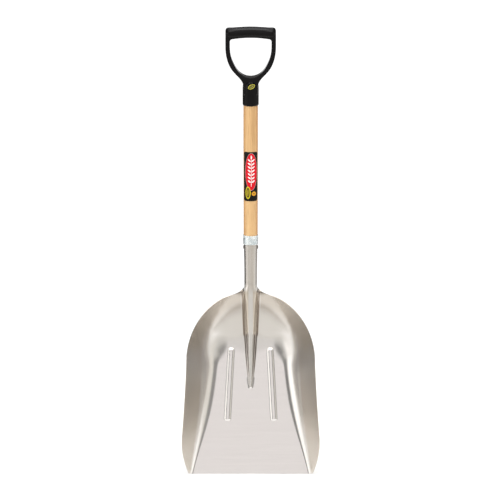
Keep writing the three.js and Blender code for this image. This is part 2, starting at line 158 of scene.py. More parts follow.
# The handle and its fittings.
NEAR_AXIS = 0.01 * MM
SEAT_GAP = 0.6 * MM
WOOD_SHOULDER_RISE = 13.5 * MM
WOOD_FOOT_LESS = 0.6 * MM
WOOD_TIP = (mm(6, 0), mm(9, 4), mm(11.5, 40))
WOOD_TIP_Z = -700 * MM
WOOD_FULL_Z = -300 * MM
WOOD_ROUNDING = 1.2 * MM
COLLAR_WALL = 1.15 * MM
CRIMPS = 8
CRIMP_DROP = 3.2 * MM
CRIMP_RADIUS = 2.4 * MM
CRIMP_DEPTH = 1.1 * MM
RIVET_SHANK = 2.6 * MM
RIVET_GAP = 0.1 * MM
RIVET_SKIRT = 0.5 * MM
SCREW_SHANK = 2 * MM
CROSS_SLOT = mm(4.4, 0.9)
CROSS_DEPTH = 1.6 * MM
LABEL_MIDDLE_RADIUS = WOOD_RADIUS + 0.3 * MM
LABEL_OUTER_RADIUS = WOOD_RADIUS + 0.5 * MM
LABEL_CORNER = 6 * MM
LABEL_GAP = 0.1 * MM
LABEL_SHEET = 0.15 * MM
BADGE_RADII = mm(10, 6)
BADGE_TILT = math.radians(25)
BADGE_GAP = 0.05 * MM
BADGE_SHEET = 0.2 * MM

# The grip: the depth of its flat part, the bow of its bar, and what is cut out of its cup.
PLATE_HALF = 12 * MM
PLATE_CUP_MORE = 4.5 * MM
PLATE_CUP_Z = mm(-62, -112)
PLATE_BAR_LESS = 7 * MM
PLATE_BAR_Z = mm(3, 15)
BAR_DROP = 3 * MM
BAR_DROP_X = 56 * MM
CUP_GAP = 0.15 * MM
SEAT_DEPTH = 2.2 * MM
SEAT_HOLE = 2.1 * MM
SEAT_RADIUS = 4.25 * MM


# ---------------------------------------------------------------- node helpers

def node(tree, kind, inputs=None, **settings):
    """Adds a node; an input is set to a value, or linked when it is another node's socket."""
    made = tree.nodes.new("ShaderNode" + kind)
    for key, value in settings.items():
        setattr(made, key, value)
    for key, value in (inputs or {}).items():
        if isinstance(value, bpy.types.NodeSocket):
            tree.links.new(value, made.inputs[key])
        else:
            made.inputs[key].default_value = value
    return made


def maths(tree, operation, *values):
    return node(tree, "Math", dict(enumerate(values)), operation=operation).outputs[0]


def scaled(tree, scale):
    """The object's own coordinates, in metres, times a scale for each axis."""
    place = node(tree, "TexCoord").outputs["Object"]
    return node(tree, "Mapping", {"Vector": place, "Scale": scale}).outputs[0]


def noise(tree, scale, detail=3.0, roughness=0.5, distortion=0.0):
    inputs = {"Vector": scaled(tree, scale), "Scale": 1.0, "Detail": detail, "Roughness": roughness,
              "Distortion": distortion}
    return node(tree, "TexNoise", inputs).outputs[0]


def spread(tree, value, low, high):
    """Maps 0..1 to low..high."""
    return node(tree, "MapRange", {"Value": value, "To Min": low, "To Max": high}).outputs[0]


def soft_step(tree, value, low, high):
    """0 at low, 1 at high, smooth between; low may be the larger."""
    inputs = {"Value": value, "From Min": low, "From Max": high}
    return node(tree, "MapRange", inputs, interpolation_type="SMOOTHSTEP").outputs[0]


def colours(tree, value, stops):
    ramp = node(tree, "ValToRGB", {"Fac": value})
    while len(ramp.color_ramp.elements) < len(stops):
        ramp.color_ramp.elements.new(0.5)
    for element, (place, colour) in zip(ramp.color_ramp.elements, stops):
        element.position = place
        element.color = (*colour, 1)
    return ramp.outputs[0]


def blend(tree, share, below, above, mode="MIX"):
    mixed = node(tree, "Mix", data_type="RGBA", blend_type=mode)
    for key, value in ((0, share), (6, below), (7, above)):
        if isinstance(value, bpy.types.NodeSocket):
            tree.links.new(value, mixed.inputs[key])
        else:
            mixed.inputs[key].default_value = value if key == 0 else (*value, 1)
    return mixed.outputs[2]


def bump(tree, height, distance, strength=1.0, under=None):
    inputs = {"Height": height, "Distance": distance, "Strength": strength}
    if under is not None:
        inputs["Normal"] = under
    return node(tree, "Bump", inputs).outputs[0]


def material(name, **sockets):
    made = bpy.data.materials.new(name)
    made.use_nodes = True
    tree = made.node_tree
    tree.nodes.clear()
    shader = node(tree, "BsdfPrincipled")
    out = node(tree, "OutputMaterial")
    tree.links.new(shader.outputs[0], out.inputs[0])
    for key, value in sockets.items():
        shader.inputs[key.replace("_", " ")].default_value = value
    return made, tree, shader


def join(tree, socket, shader, name):
    tree.links.new(socket, shader.inputs[name])


# ---------------------------------------------------------------- materials

# Painted shade on the aluminium: where each grows from nothing to full along v, across in x or over the
# floor, as a rise and a fall where it has both, and the colour that it multiplies the metal by.
# The drawn lines on the socket alone are marks of the metal, not shade.
SIDE_TINT_TILT = 0.09
SIDE_TINT_OVER = mm(2, 9)
SIDE_TINT_V = mm(345, 300)
SIDE_TINT_FULL_V = mm(330, 180)
SIDE_TINT_LEAST = 0.35
SIDE_WALL_SHADES = ((0.72, 0.68, 0.63), (0.84, 0.81, 0.77))
BACK_TINT_REACH = (0.66, 0.90)
BACK_TINT_X = mm(22, 28)
BACK_TINT_V = (mm(290, 350), mm(500, 480))
BACK_WALL_SHADES = ((0.55, 0.51, 0.46), (0.74, 0.70, 0.65))
CREASE_START = 1.2 * MM
CREASE_SPREAD = 0.045
CREASE_V = (mm(364, 374), mm(492, 478))
CREASE_OFF = mm(3.2, 1)
CREASE_SHADE = (0.40, 0.34, 0.29)
FLANK_X = mm(4, 8)
FLANK_OFF = mm(1, 4)
FLANK_SHADE = (0.90, 0.84, 0.76)
BEAD_START_V = FROG_TIP_V - 72 * MM
BEAD_SPREAD = 0.084
BEAD_CREST = 0.5
BEAD_FLANK = ((-0.15, 0.15), (1.1, 0.9))
BEAD_V = (mm(236, 292), mm(376, 368))
BEAD_GAP = (0.06, 0.2)
BEAD_GAP_LEAST = 0.35
BEAD_SHADE = (0.30, 0.26, 0.24)
SOCKET_SIDE_X = mm(17.2, 19.5)
SOCKET_SIDE_V = mm(478, 486)
SOCKET_SIDE_SHADE = (0.34, 0.32, 0.30)
DRAWN_V = mm(470, 500)
DRAWN_TINT = (0.80, 0.74, 0.68)

# Where the painted shade that darkens the wood towards its sides starts and ends, as shares of its radius.
WOOD_SIDE_SHADE = (0.55, 0.98)

# The label's artwork, from the middle of the label: places across and up, half axes and colours.
FILM_BLACK = (0.004, 0.004, 0.004)
WHITE_INK = (0.95, 0.94, 0.92)
PANEL_AT = mm(1.6, 12.8)
PANEL_OVALS = (
    (PANEL_AT, mm(17.4, 50.8), (0.42, 0.40, 0.38)),
    (PANEL_AT, mm(16.6, 49.8), (0.74, 0.008, 0.022)),
)
EAR_LOW = -18 * MM
EAR_HIGH = 48 * MM
GRAIN_PITCH = 9.5 * MM
GRAIN_OUT = 5.2 * MM
GRAIN_RADII = mm(4.9, 2.0)
GRAIN_TILT = math.radians(38)
STEM_HALF = 0.7 * MM
STEM_LOW = -27 * MM
TOP_GRAIN_AT = (PANEL_AT[0], 52 * MM)
RING_AT = mm(-7.4, -44)
DISC_AT = mm(9.0, -46.5)
MARK_OVALS = (
    (TOP_GRAIN_AT, mm(2.0, 5.2), WHITE_INK),
    (RING_AT, mm(7.4, 16.8), (0.66, 0.56, 0.02)),
    (RING_AT, mm(4.5, 13.6), (0.05, 0.025, 0.012)),
    (RING_AT, mm(1.6, 9.5), (0.55, 0.42, 0.03)),
    (DISC_AT, mm(6.2, 6.0), (0.75, 0.36, 0.03)),
    (DISC_AT, mm(1.6, 1.6), (0.12, 0.05, 0.02)),
)
BADGE_HOLE = mm(7.6, 3.9)
BADGE_CORE = mm(5.6, 1.9)
STRIPE_PITCH = 3.4 * MM
STRIPE_WIDTH = 1.9 * MM


def product(tree, first, *others):
    for other in others:
        first = maths(tree, "MULTIPLY", first, other)
    return first


def between(tree, value, rise, fall):
    """1 between two places, smooth at both; rise and fall each say where they start and end."""
    return maths(tree, "MULTIPLY", soft_step(tree, value, *rise), soft_step(tree, value, *fall))


def along_line(tree, place, way):
    return node(tree, "VectorMath", {0: place, 1: way}, operation="DOT_PRODUCT").outputs["Value"]


def blade_places(tree):
    """The blade's own coordinates in a shader: x from the middle, v up the floor, h out of it."""
    place = node(tree, "TexCoord").outputs["Object"]
    x = maths(tree, "ABSOLUTE", node(tree, "SeparateXYZ", {"Vector": place}).outputs[0])
    run = along_line(tree, place, (0, math.sin(LIFT), math.cos(LIFT)))
    rise = along_line(tree, place, (0, -math.cos(LIFT), math.sin(LIFT)))
    v = maths(tree, "SUBTRACT", run, AXIS_Z * math.cos(LIFT) - AXIS_V)
    return x, v, maths(tree, "SUBTRACT", rise, AXIS_Z * math.sin(LIFT))


def painted_wall_shade(tree, tone, place, cloud, lines):
    """Painted shade: dulls the side walls towards the lip, and browns and darkens the back wall towards its
    rim.
    """
    x, v, h = place
    over = maths(tree, "SUBTRACT", h, maths(tree, "MULTIPLY", v, SIDE_TINT_TILT))
    side = product(tree, soft_step(tree, over, *SIDE_TINT_OVER), soft_step(tree, v, *SIDE_TINT_V),
                   spread(tree, soft_step(tree, v, *SIDE_TINT_FULL_V), SIDE_TINT_LEAST, 1))
    tone = blend(tree, side, tone, blend(tree, lines, *SIDE_WALL_SHADES), "MULTIPLY")
    beyond = maths(tree, "MAXIMUM", maths(tree, "SUBTRACT", v, SHOULDER_V), 0.0)
    shares = {0: maths(tree, "DIVIDE", x, RIM_HALF), 1: maths(tree, "DIVIDE", beyond, ARCH_RISE)}
    arch = node(tree, "CombineXYZ", shares).outputs[0]
    reach = node(tree, "VectorMath", {0: arch}, operation="LENGTH").outputs["Value"]
    back = product(tree, soft_step(tree, reach, *BACK_TINT_REACH), between(tree, v, *BACK_TINT_V),
                   soft_step(tree, x, *BACK_TINT_X))
    return blend(tree, back, tone, blend(tree, cloud, *BACK_WALL_SHADES), "MULTIPLY")


def painted_tube_shade(tree, tone, place):
    """Painted shade: a dark crease down each side of the frog's tube, with warmer, darker flanks between the
    two.
    """
    x, v, _ = place
    crease = maths(tree, "ADD", maths(tree, "MULTIPLY", v, CREASE_SPREAD), CREASE_START)
    off = maths(tree, "ABSOLUTE", maths(tree, "SUBTRACT", x, crease))
    beside = between(tree, v, *CREASE_V)
    groove = maths(tree, "MULTIPLY", soft_step(tree, off, *CREASE_OFF), beside)
    tone = blend(tree, groove, tone, CREASE_SHADE, "MULTIPLY")
    flank = product(tree, soft_step(tree, x, *FLANK_X), soft_step(tree, off, *FLANK_OFF),
                    maths(tree, "LESS_THAN", x, crease), beside)
    return blend(tree, flank, tone, FLANK_SHADE, "MULTIPLY")


def painted_bead_shade(tree, tone, place):
    """Painted shade: two dark lines down each flank of the bead; share is 0 at the crest's edge and 1 at the
    foot.
    """
    x, v, _ = place
    foot = maths(tree, "MULTIPLY", maths(tree, "SUBTRACT", v, BEAD_START_V), BEAD_SPREAD)
    crest = maths(tree, "MULTIPLY", foot, BEAD_CREST)
    share = maths(tree, "DIVIDE", maths(tree, "SUBTRACT", x, crest), maths(tree, "SUBTRACT", foot, crest))
    gap = maths(tree, "ABSOLUTE", maths(tree, "SUBTRACT", share, 0.5))
    band = product(tree, between(tree, share, *BEAD_FLANK), between(tree, v, *BEAD_V),
                   spread(tree, soft_step(tree, gap, *BEAD_GAP), BEAD_GAP_LEAST, 1))
    return blend(tree, band, tone, BEAD_SHADE, "MULTIPLY")


def socket_shade_and_lines(tree, tone, place):
    """Painted shade on the socket's sides where it widens, and drawn lines along it."""
    x, v, _ = place
    flare = maths(tree, "MULTIPLY", soft_step(tree, x, *SOCKET_SIDE_X), soft_step(tree, v, *SOCKET_SIDE_V))
    tone = blend(tree, flare, tone, SOCKET_SIDE_SHADE, "MULTIPLY")
    drawn = maths(tree, "MULTIPLY", noise(tree, (260, 260, 5), 3, 0.6), soft_step(tree, v, *DRAWN_V))
    return blend(tree, drawn, tone, DRAWN_TINT, "MULTIPLY")


def aluminium():
    made, tree, shader = material("blade_aluminium", Metallic=1.0)
    along = noise(tree, (14, 600, 600), 4, 0.6)
    lines = noise(tree, (4, 260, 260), 3, 0.7)
    cloud = noise(tree, (14, 14, 9), 4, 0.55)
    tone = blend(tree, cloud, (0.76, 0.745, 0.72), (0.82, 0.81, 0.79))
    tone = blend(tree, spread(tree, along, 0, 0.25), tone, (0.68, 0.65, 0.62))
    tone = blend(tree, spread(tree, lines, 0, 0.34), tone, (0.60, 0.575, 0.56))
    place = blade_places(tree)
    # Painted shade laid by place: side and back walls, the tube's creases and flanks, the bead's flanks, the
    # socket's sides.
    tone = painted_wall_shade(tree, tone, place, cloud, lines)
    tone = painted_tube_shade(tree, tone, place)
    tone = painted_bead_shade(tree, tone, place)
    tone = socket_shade_and_lines(tree, tone, place)
    join(tree, tone, shader, "Base Color")
    rough = maths(tree, "ADD", spread(tree, cloud, 0.17, 0.26), spread(tree, along, -0.03, 0.06))
    join(tree, rough, shader, "Roughness")
    waves = bump(tree, noise(tree, (9, 9, 6), 2), 0.25 * MM)
    drawn = bump(tree, lines, 0.03 * MM, under=waves)
    join(tree, bump(tree, along, 0.03 * MM, under=drawn), shader, "Normal")
    return made


def wood():
    made, tree, shader = material("handle_wood", Coat_Weight=0.25, Coat_Roughness=0.22)
    bands = noise(tree, (120, 60, 2.2), 3, 0.6, 0.6)
    pores = noise(tree, (900, 900, 14), 3, 0.7)
    cloud = noise(tree, (18, 18, 3), 2)
    tone = colours(tree, bands, [(0.3, (0.54, 0.31, 0.125)), (0.45, (0.76, 0.49, 0.23)),
                                 (0.6, (0.82, 0.56, 0.28)), (0.75, (0.64, 0.39, 0.16))])
    warm = blend(tree, spread(tree, cloud, 0, 0.3), tone, (0.84, 0.50, 0.20))
    place = node(tree, "TexCoord").outputs["Object"]
    side = maths(tree, "ABSOLUTE", node(tree, "SeparateXYZ", {"Vector": place}).outputs[0])
    # Painted shade: the wood's sides, as seen from the front, are darkened in its colour.
    side_shade = soft_step(tree, maths(tree, "DIVIDE", side, WOOD_RADIUS), *WOOD_SIDE_SHADE)
    warm = blend(tree, side_shade, warm, (0.80, 0.64, 0.46), "MULTIPLY")
    dark = colours(tree, pores, [(0.33, (0.62, 0.5, 0.4)), (0.45, (1, 1, 1))])
    join(tree, blend(tree, 0.8, warm, dark, "MULTIPLY"), shader, "Base Color")
    join(tree, spread(tree, pores, 0.55, 0.38), shader, "Roughness")
    join(tree, bump(tree, pores, 0.06 * MM), shader, "Normal")
    return made


def galvanised():
    made, tree, shader = material("collar_steel", Metallic=0.65)
    cells = node(tree, "TexVoronoi", {"Vector": scaled(tree, (110, 110, 150)), "Scale": 1.0})
    patch = node(tree, "SeparateColor", {"Color": cells.outputs["Color"]}).outputs[0]
    dull = noise(tree, (300, 300, 300), 4)
    tone = blend(tree, patch, (0.62, 0.71, 0.75), (0.93, 0.99, 1.0))
    join(tree, blend(tree, spread(tree, dull, 0, 0.25), tone, (0.78, 0.84, 0.86)), shader, "Base Color")
    join(tree, maths(tree, "ADD", spread(tree, patch, 0.16, 0.3), spread(tree, dull, -0.05, 0.1)),
         shader, "Roughness")
    join(tree, bump(tree, dull, 0.08 * MM), shader, "Normal")
    return made


def plain_steel(name, light, dark):
    made, tree, shader = material(name, Metallic=1.0)
    wear = noise(tree, (500, 500, 500), 4)
    join(tree, blend(tree, wear, dark, light), shader, "Base Color")
    join(tree, spread(tree, wear, 0.28, 0.5), shader, "Roughness")
    join(tree, bump(tree, wear, 0.05 * MM), shader, "Normal")
    return made


def moulded_plastic():
    made, tree, shader = material("grip_plastic", Specular_IOR_Level=0.16)
    skin = noise(tree, (800, 800, 800), 2)
    cloud = noise(tree, (40, 40, 40), 3)
    join(tree, blend(tree, cloud, (0.0025, 0.0025, 0.003), (0.0045, 0.004, 0.005)), shader, "Base Color")
    join(tree, maths(tree, "ADD", spread(tree, cloud, 0.14, 0.20), spread(tree, skin, -0.02, 0.04)),
         shader, "Roughness")
    join(tree, bump(tree, skin, 0.02 * MM), shader, "Normal")
    return made


def ellipse(tree, across, up, centre, radii, tilt=0.0):
    """1 inside an ellipse drawn in a flat pair of coordinates, 0 outside."""
    dx = maths(tree, "SUBTRACT", across, centre[0])
    dy = maths(tree, "SUBTRACT", up, centre[1])
    c, s = math.cos(tilt), math.sin(tilt)
    along = maths(tree, "ADD", maths(tree, "MULTIPLY", dx, c), maths(tree, "MULTIPLY", dy, s))
    cross = maths(tree, "SUBTRACT", maths(tree, "MULTIPLY", dy, c), maths(tree, "MULTIPLY", dx, s))
    a = maths(tree, "POWER", maths(tree, "DIVIDE", maths(tree, "ABSOLUTE", along), radii[0]), 2.0)
    b = maths(tree, "POWER", maths(tree, "DIVIDE", maths(tree, "ABSOLUTE", cross), radii[1]), 2.0)
    return maths(tree, "LESS_THAN", maths(tree, "ADD", a, b), 1.0)


def label_film():
    """Black film with a red panel, a plain ear of grain on it, a yellow ring and an orange disc."""
    made, tree, shader = material("label_film", Specular_IOR_Level=0.12, Roughness=0.3)
    x, y, z = node(tree, "SeparateXYZ", {"Vector": node(tree, "TexCoord").outputs["Object"]}).outputs
    turn = maths(tree, "ARCTAN2", x, maths(tree, "MULTIPLY", y, -1.0))
    across = maths(tree, "MULTIPLY", turn, WOOD_RADIUS)
    up = maths(tree, "SUBTRACT", z, (LABEL_LOW.z + LABEL_HIGH.z) / 2)
    paint = FILM_BLACK
    for at, radii, colour in PANEL_OVALS:
        paint = blend(tree, ellipse(tree, across, up, at, radii), paint, colour)
    side = maths(tree, "ABSOLUTE", maths(tree, "SUBTRACT", across, PANEL_AT[0]))
    step = maths(tree, "FLOORED_MODULO", maths(tree, "SUBTRACT", up, EAR_LOW), GRAIN_PITCH)
    under_tip = maths(tree, "LESS_THAN", up, EAR_HIGH)
    grains = product(tree, ellipse(tree, side, step, (GRAIN_OUT, GRAIN_PITCH / 2), GRAIN_RADII, GRAIN_TILT),
                     maths(tree, "GREATER_THAN", up, EAR_LOW), under_tip)
    paint = blend(tree, grains, paint, WHITE_INK)
    stem = product(tree, maths(tree, "LESS_THAN", side, STEM_HALF),
                   maths(tree, "GREATER_THAN", up, STEM_LOW), under_tip)
    paint = blend(tree, stem, paint, WHITE_INK)
    for at, radii, colour in MARK_OVALS:
        paint = blend(tree, ellipse(tree, across, up, at, radii), paint, colour)
    ink = noise(tree, (700, 700, 700), 3)
    join(tree, blend(tree, spread(tree, ink, 0, 0.03), paint, (0.3, 0.28, 0.26)), shader, "Base Color")
    join(tree, bump(tree, noise(tree, (120, 120, 60), 2), 0.04 * MM), shader, "Normal")
    return made


def badge_film():
    """Yellow film with a dark oval in it and a striped yellow core."""
    made, tree, shader = material("badge_film", Coat_Weight=0.4, Coat_Roughness=0.1)
    patch = noise(tree, (300, 300, 300), 3)
    x, _, z = node(tree, "SeparateXYZ", {"Vector": node(tree, "TexCoord").outputs["Object"]}).outputs
    centre = ((BADGE_LOW.x + BADGE_HIGH.x) / 2, (BADGE_LOW.z + BADGE_HIGH.z) / 2)
    yellow = blend(tree, patch, (0.40, 0.36, 0.02), (0.62, 0.58, 0.05))
    inside = ellipse(tree, x, z, centre, BADGE_HOLE, BADGE_TILT)
    paint = blend(tree, inside, yellow, (0.02, 0.018, 0.012))
    core = ellipse(tree, x, z, centre, BADGE_CORE, BADGE_TILT)
    stripe = maths(tree, "LESS_THAN", maths(tree, "FLOORED_MODULO", x, STRIPE_PITCH), STRIPE_WIDTH)
    join(tree, blend(tree, maths(tree, "MULTIPLY", core, stripe), paint, yellow), shader, "Base Color")
    join(tree, spread(tree, patch, 0.25, 0.45), shader, "Roughness")
    join(tree, bump(tree, patch, 0.04 * MM), shader, "Normal")
    return made


# ---------------------------------------------------------------- mesh helpers

def piece(name, verts, faces, look, nodes, sharp=35):
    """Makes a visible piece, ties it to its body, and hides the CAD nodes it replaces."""
    mesh = bpy.data.meshes.new(name)
    mesh.from_pydata([tuple(v) for v in verts], [], faces)
    mesh.materials.append(look)
    mesh.validate()
    made = bpy.data.objects.new(name, mesh)
    bpy.context.scene.collection.objects.link(made)
    finish_surface(made, sharp)
    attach(made, ROOT)
    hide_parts(*nodes)
    return made


def finish_surface(made, sharp):
    mesh = made.data
    tidy = bmesh.new()
    tidy.from_mesh(mesh)
    bmesh.ops.recalc_face_normals(tidy, faces=tidy.faces)
    tidy.to_mesh(mesh)
    tidy.free()
    mesh.shade_smooth()
    mesh.set_sharp_from_angle(angle=math.radians(sharp))


def revolved(profile, segments, squash=None):
    """A closed profile of (radius, z) points turned about Z; squash says how far a point goes in."""
    verts, faces = [], []
    count = len(profile)
    for i in range(segments):
        angle = 2 * math.pi * i / segments
        for r, z in profile:
            extra = squash(angle, r, z) if squash else 0.0
            verts.append(((r - extra) * math.sin(angle), -(r - extra) * math.cos(angle), z))
    for i in range(segments):
        a, b = i * count, (i + 1) % segments * count
        for j in range(count):
            k = (j + 1) % count
            faces.append((a + j, b + j, b + k, a + k))
    return verts, faces


def rounded(points, radius, steps=4):
    """A closed outline with each corner turned into a short arc."""
    points = [Vector(p) for p in points]
    out = []
    for i, corner in enumerate(points):
        before = points[i - 1] - corner
        after = points[(i + 1) % len(points)] - corner
        reach = min(radius, before.length * 0.45, after.length * 0.45)
        start = corner + before.normalized() * reach
        end = corner + after.normalized() * reach
        for k in range(steps + 1):
            t = k / steps
            out.append(tuple(start * (1 - t) ** 2 + corner * 2 * t * (1 - t) + end * t * t))
    return out


def sheet_faces(rows, columns):
    """Faces of a closed sheet: a grid of points in front, the same grid behind, and the edges between."""
    front, back = np.arange(2 * rows * columns).reshape(2, rows, columns)
    quads = [np.stack([front[:-1, :-1], front[:-1, 1:], front[1:, 1:], front[1:, :-1]], -1),
             np.stack([back[:-1, :-1], back[1:, :-1], back[1:, 1:], back[:-1, 1:]], -1)]
    for f, b in ((front[:, 0], back[:, 0]), (back[:, -1], front[:, -1]), (back[0], front[0]),
                 (front[-1], back[-1])):
        quads.append(np.stack([f[:-1], f[1:], b[1:], b[:-1]], -1))
    return np.concatenate([q.reshape(-1, 4) for q in quads]).tolist()


def tool(name, made):
    """An object with no look of its own yet: a part to join or a shape to cut with."""
    mesh = bpy.data.meshes.new(name)
    made.to_mesh(mesh)
    made.free()
    shape = bpy.data.objects.new(name, mesh)
    bpy.context.scene.collection.objects.link(shape)
    return shape


def solid_from(name, verts, faces):
    made = bmesh.new()
    points = [made.verts.new(v) for v in verts]
    for face in faces:
        made.faces.new([points[i] for i in face])
    bmesh.ops.recalc_face_normals(made, faces=made.faces)
    return tool(name, made)


def box_mesh(name, size, centre):
    made = bmesh.new()
    bmesh.ops.create_cube(made, size=1.0)
    bmesh.ops.scale(made, vec=size, verts=made.verts)
    bmesh.ops.translate(made, vec=centre, verts=made.verts)
    return tool(name, made)


def settle(made):
    """Makes the object's modifiers part of its mesh."""
    shown = made.evaluated_get(bpy.context.evaluated_depsgraph_get())
    mesh = bpy.data.meshes.new_from_object(shown)
    made.modifiers.clear()
    made.data = mesh


def cut(made, cutter):
    change = made.modifiers.new("cut", "BOOLEAN")
    change.operation = "DIFFERENCE"
    change.solver = "EXACT"
    change.object = cutter
    settle(made)
    bpy.data.objects.remove(cutter)


# ---------------------------------------------------------------- blade

def smooth(t):
    t = np.clip(t, 0, 1)
    return t * t * (3 - 2 * t)


def ease(value, low, high):
    """0 at low, 1 at high, smooth between; low may be the larger."""
    return smooth((value - low) / (high - low))


def fold(t, softness):
    """0 below zero and t above it, with a bend as soft as said between the two."""
    return np.where(t <= -softness, 0, np.where(t >= softness, t, (t + softness) ** 2 / (4 * softness)))


def rim_half(v):
    corner = CORNER_CUT * np.maximum(0, 1 - v / CORNER_LENGTH) ** 2
    side = RIM_HALF + RIM_FLARE * (np.maximum(0, SHOULDER_V - v) / FLARE_LENGTH) ** FLARE_POWER - corner
    arch = RIM_HALF * np.sqrt(np.maximum(0, 1 - (np.maximum(0, v - SHOULDER_V) / ARCH_RISE) ** 2))
    neck = SOCKET_RADIUS + NECK_SLOPE * np.maximum(0, NECK_V - v)
    top = np.where(v < NECK_START_V, arch, neck + fold(arch - neck, NECK_SOFTNESS))
    return np.where(v < SHOULDER_V, side, top)


def fold_half(v):
    return FOLD_HALF + FOLD_FLARE * (np.maximum(0, SHOULDER_V - v) / SHOULDER_V) ** FLARE_POWER


def frog_half(v):
    grown = 1 - np.exp(-np.maximum(0, v - FROG_TIP_V) / FROG_SPREAD)
    return FROG_TIP_HALF + (FROG_HALF - FROG_TIP_HALF) * grown


def frog_top(v):
    above = (np.maximum(v, FROG_ROUND_V) - AXIS_V) * math.tan(LIFT) + SOCKET_RADIUS / math.cos(LIFT)
    run = np.clip((v - FROG_TIP_V) / (FROG_ROUND_V - FROG_TIP_V), 0, 1)
    end = np.clip((v - FROG_TIP_V) / FROG_END, 0, 1)
    return (FROG_TIP_HEIGHT + (above - FROG_TIP_HEIGHT) * run ** FROG_RISE_POWER) * (1 - (1 - end) ** 2)


def frog_shape(across, v):
    """Height across the frog, 0 to 1: a round tube on a fillet, and below the wood a stepped bead."""
    tube = np.sqrt(np.maximum(0, 1 - (across / FROG_TUBE) ** 2))
    fillet = np.clip((1 - across) / (1 - FROG_TUBE), 0, 1) ** FROG_FILLET_POWER
    arch = FROG_LEG * fillet + (1 - FROG_LEG) * tube
    bead = np.interp(across, BEAD_ACROSS, BEAD_RISE)
    return bead + (arch - bead) * ease(v, *FROG_STEP_V)


def fold_softness(v):
    low, high = FOLD_SOFTNESS
    return low + (high - low) * smooth(v / FOLD_SOFT_V)


def pan(u, v):
    """Height of the floor, side walls and ramp: the foot of them all turns a round corner."""
    q1 = fold(np.abs(u) - (fold_half(v) - CORNER_RADIUS), CORNER_EASE[0])
    q2 = fold(v - (RAMP_V - CORNER_RADIUS), CORNER_EASE[1])
    turn = np.arctan2(q2, np.maximum(q1, 1e-9)) / (math.pi / 2)
    out = np.hypot(q1, q2) - CORNER_RADIUS
    side = fold_softness(v) / WALL_SLOPE
    top = RAMP_SOFTNESS + MIDDLE_EXTRA * (1 - smooth(np.abs(u) / MIDDLE_HALF))
    soft = side + (top - side) * turn + CORNER_EXTRA * np.sin(math.pi * turn)
    slope = WALL_SLOPE + (RAMP_SLOPE - WALL_SLOPE) * smooth(turn)
    return slope * fold(out, soft)


def arch_place(u, v):
    """How far out and how far up the arched end a place is, as shares that reach the rim at 1."""
    return np.abs(u) / RIM_HALF, np.maximum(0, v - SHOULDER_V) / ARCH_RISE


def wall(u, v):
    """Height of the back wall over the floor, and the softness of the fold at its foot."""
    across, along = arch_place(u, v)
    reach = np.maximum(1e-6, np.hypot(across, along))
    inside = np.hypot(u, np.maximum(0, v - SHOULDER_V)) * (1 / reach - 1)
    back = (along / reach) ** 2
    rim = WALL_SLOPE * (RIM_HALF - FOLD_HALF) * (1 - back) + BACK_RIM_HEIGHT * back
    return rim - WALL_SLOPE * inside, SIDE_SOFTNESS + BACK_SOFTNESS * back


def rib_axis(v):
    """Where the rib's middle line lies across the blade, and how far v is beyond that line's ends."""
    v0, v1 = RIB_V[0] + RIB_HALF / RIB_BLUNT, RIB_V[1] - RIB_HALF
    t = np.clip((v - v0) / (v1 - v0), 0, 1)
    end = v - (v0 + (v1 - v0) * t)
    return RIB_U[0] + (RIB_U[1] - RIB_U[0]) * t, np.where(end < 0, end * RIB_BLUNT, end)


def rib_rise(u, v):
    middle, end = rib_axis(v)
    off = np.hypot(np.abs(u) - middle, end) / RIB_HALF
    return RIB_HEIGHT * np.interp(off, RIB_ACROSS, RIB_RISE)


def pleats(u, v):
    """Shallow gathers in the pressed back wall, fading out below the shoulder and away from the rim."""
    across, along = arch_place(u, v)
    turn = np.arctan2(across, along)
    wave = sum(share * np.sin(turn * count + shift * np.sign(u)) for share, count, shift in PLEAT_WAVES)
    near = ease(np.hypot(across, along), *PLEAT_REACH) * ease(v, *PLEAT_V) * ease(turn, *PLEAT_TURN)
    return PLEAT_HEIGHT * wave * near


def blade_height(u, v):
    low = pan(u, v)
    height, softness = wall(u, v)
    base = low + np.where(v < SHOULDER_V, 0, fold(height - low, softness)) + rib_rise(u, v) + pleats(u, v)
    across = np.minimum(1, np.abs(u) / frog_half(v))
    rise = np.maximum(0, frog_top(v) - base) * (v > FROG_TIP_V)
    return base + rise * frog_shape(across, v)


def blade_point(u, v):
    h = blade_height(u, v)
    run = v - AXIS_V
    y = run * math.sin(LIFT) - h * math.cos(LIFT)
    z = AXIS_Z + run * math.cos(LIFT) + h * math.sin(LIFT)
    return np.stack([u, y, z], -1)


def socket_radius(z):
    low, high = SOCKET_TAPER_Z
    t = np.clip((z - low) / (high - low), 0, 1)
    return SOCKET_RADIUS + (SOCKET_TOP_RADIUS - SOCKET_RADIUS) * t ** SOCKET_TAPER_POWER


def socket_point(angle, v):
    z = AXIS_Z + (v - AXIS_V) / math.cos(LIFT) + SOCKET_RADIUS * math.tan(LIFT)
    r = socket_radius(z)
    return np.stack([r * np.sin(angle), -r * np.cos(angle), z + 0 * angle], -1)


def sheet_point(place, v):
    """place runs -2..2 across the row: 0 the middle, 1 the foot of the frog, 2 the rim."""
    side, place = np.sign(place), np.abs(place)
    turn, out = np.minimum(place, 1), np.maximum(place - 1, 0)
    frog = np.minimum(frog_half(v), rim_half(v) - FROG_EDGE)
    quarter = math.pi / 2
    u = frog * np.sin(turn * quarter) + (rim_half(v) - frog) * out
    closed = math.pi - SEAM / 2 / SOCKET_RADIUS
    end = OPEN_ANGLE + (closed - OPEN_ANGLE) * ease(v, *CLOSE_V)
    angle = turn * quarter + (end - quarter) * out
    share = ease(v, *WRAP_V)[..., None]
    point = blade_point(side * u, v) * (1 - share) + socket_point(side * angle, v) * share
    across = np.abs(point[..., 0])
    beside = smooth((across - NOTCH_U[0]) / NOTCH_EASE) * smooth((NOTCH_U[1] - across) / NOTCH_EASE)
    point[..., 1] += NOTCH_DEPTH * beside * np.exp(-((v - NOTCH_V) / NOTCH_HALF) ** 2)
    return point


